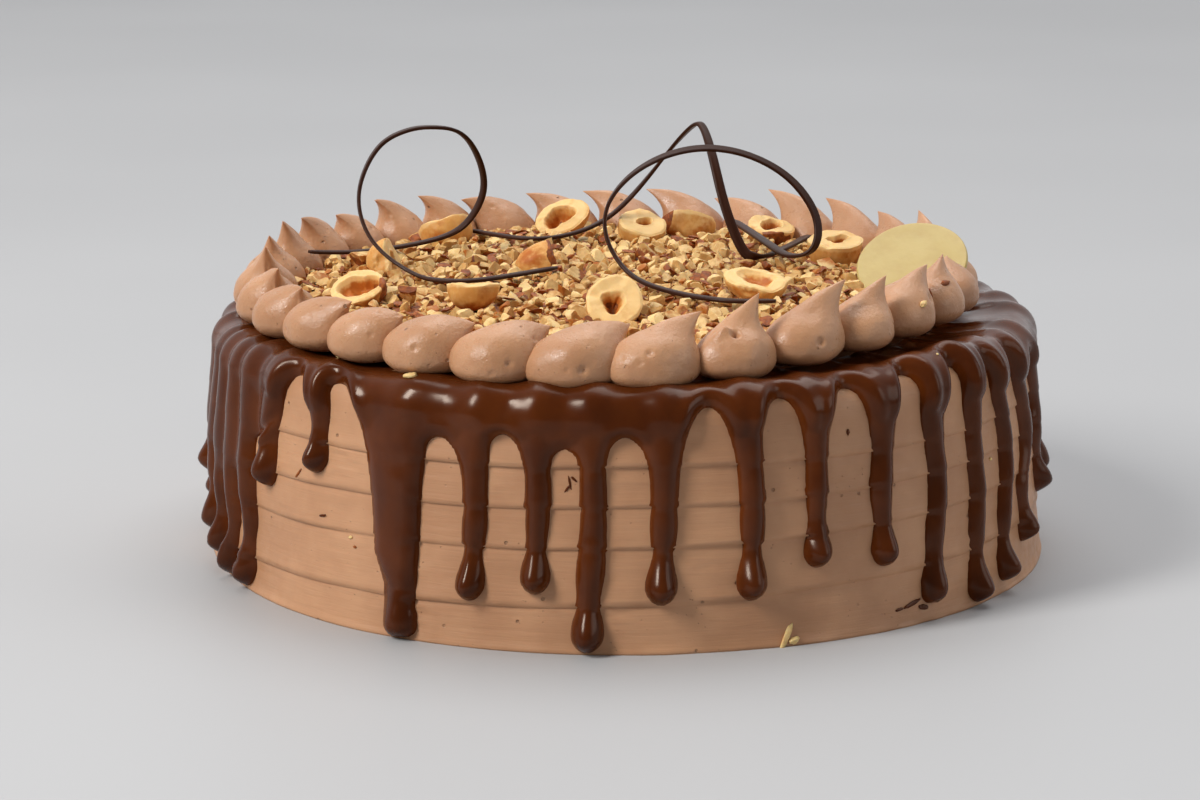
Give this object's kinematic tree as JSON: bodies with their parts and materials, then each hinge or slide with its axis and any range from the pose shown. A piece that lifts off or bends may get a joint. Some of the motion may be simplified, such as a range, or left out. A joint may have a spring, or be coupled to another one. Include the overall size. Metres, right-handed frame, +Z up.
{
  "type": "chocolate hazelnut cake",
  "caption": "Round frosted cake with a dark glaze running down its side in drips, a ring of piped dollops, chopped nuts, halved hazelnuts, ribbon curls and a bare round plaque.",
  "frame": {"origin": "centre of the flat face that the cake rests on", "axes": "+Z up through the cake's top; -Y faces the viewer of the picture, +X to that viewer's right"},
  "size_m": [0.2131, 0.2138, 0.1032],
  "materials": {
    "frosting": "whipped chocolate buttercream, satin, with small air bubbles",
    "ganache": "set dark chocolate glaze, glossy",
    "chopped_nuts": "chopped roasted hazelnut with bits of brown skin",
    "hazelnut": "roasted blanched hazelnut halves, toasted inside",
    "curl": "dark chocolate ribbon, satin",
    "plaque": "white chocolate disc, satin, bare"
  },
  "bodies": {
    "root": {"cake_body": "frosting", "ganache": "ganache", "nut_bed": "chopped_nuts", "dollop_01": "frosting", "dollop_02": "frosting", "dollop_03": "frosting", "dollop_04": "frosting", "dollop_05": "frosting", "dollop_06": "frosting", "dollop_07": "frosting", "dollop_08": "frosting", "dollop_09": "frosting", "dollop_10": "frosting", "dollop_11": "frosting", "dollop_12": "frosting", "dollop_13": "frosting", "dollop_14": "frosting", "dollop_15": "frosting", "dollop_16": "frosting", "dollop_17": "frosting", "dollop_18": "frosting", "dollop_19": "frosting", "dollop_20": "frosting", "dollop_21": "frosting", "dollop_22": "frosting", "dollop_23": "frosting", "dollop_24": "frosting", "dollop_25": "frosting", "dollop_26": "frosting", "dollop_27": "frosting", "dollop_28": "frosting", "dollop_29": "frosting", "dollop_30": "frosting", "dollop_31": "frosting", "hazelnut_01": "hazelnut", "hazelnut_02": "hazelnut", "hazelnut_03": "hazelnut", "hazelnut_04": "hazelnut", "hazelnut_05": "hazelnut", "hazelnut_06": "hazelnut", "hazelnut_07": "hazelnut", "hazelnut_08": "hazelnut", "hazelnut_09": "hazelnut", "hazelnut_10": "hazelnut", "hazelnut_11": "hazelnut", "hazelnut_12": "hazelnut", "curl_1": "curl", "curl_2": "curl", "curl_3": "curl", "plaque": "plaque"}
  },
  "joints": []
}
